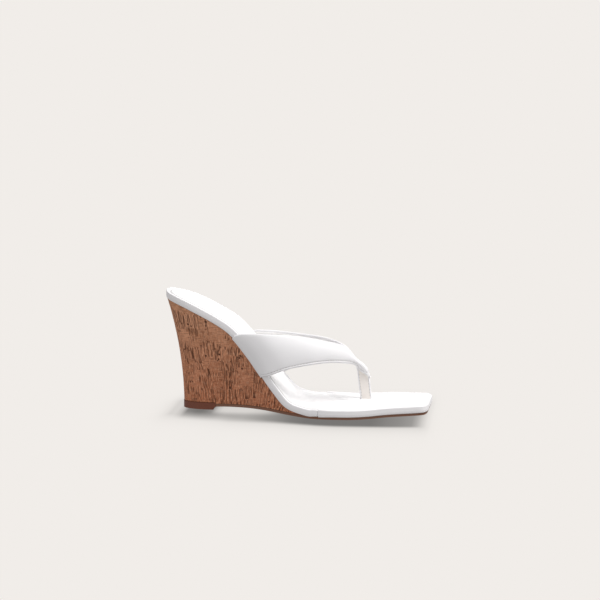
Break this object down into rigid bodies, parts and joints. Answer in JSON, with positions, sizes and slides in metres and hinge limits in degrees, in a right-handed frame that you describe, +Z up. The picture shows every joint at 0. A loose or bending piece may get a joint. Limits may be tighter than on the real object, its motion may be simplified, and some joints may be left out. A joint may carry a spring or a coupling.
{
  "type": "wedge sandal",
  "caption": "Square-toed thong sandal with a padded V-shaped strap and a toe post, a thin edge-wrapped footbed and a high cork-covered wedge heel on a flat outsole.",
  "frame": {"origin": "centre of the heel top piece's ground face", "axes": "+X towards the toe, +Y towards the inner side of the foot, +Z up from the ground"},
  "size_m": [0.2165, 0.0758, 0.0976],
  "materials": {
    "cork": "cork sheet, matte",
    "strap_leather": "soft white imitation leather",
    "lining_leather": "white lining leather, matte",
    "bed_leather": "smooth white imitation leather",
    "outsole_rubber": "brown rubber, satin",
    "lift_rubber": "dark brown rubber, satin",
    "wedge_plastic": "moulded plastic",
    "board": "cellulose insole board",
    "filler": "felt filler",
    "foam": "open-cell foam",
    "steel": "spring steel",
    "rivet_brass": "brassed steel",
    "fastener_steel": "zinc plated",
    "tape": "woven reinforcing tape",
    "post_leather": "cream imitation leather",
    "webbing": "woven webbing",
    "thread": "polyester thread"
  },
  "bodies": {
    "root": {"top_piece": "lift_rubber", "top_piece_nails": "fastener_steel", "outsole": "outsole_rubber", "wedge_core": "wedge_plastic", "cork_wrap": "cork", "bottom_filler": "filler", "edge_wrap_rear": "bed_leather", "edge_wrap_front": "bed_leather", "insole_board": "board", "shank_board": "board", "steel_shank": "steel", "shank_rivets": "rivet_brass", "heel_nails": "fastener_steel", "heel_screw": "fastener_steel", "footbed_foam": "foam", "footbed_sock": "bed_leather", "strap_outer_lateral": "strap_leather", "strap_padding_lateral": "foam", "strap_tape_lateral": "tape", "strap_lining_lateral": "lining_leather", "strap_outer_medial": "strap_leather", "strap_padding_medial": "foam", "strap_tape_medial": "tape", "strap_lining_medial": "lining_leather", "toe_post_cover": "post_leather", "toe_post_core": "webbing", "toe_post_anchor": "webbing", "strap_stitching": "thread", "toe_post_stitching": "thread"}
  },
  "joints": []
}
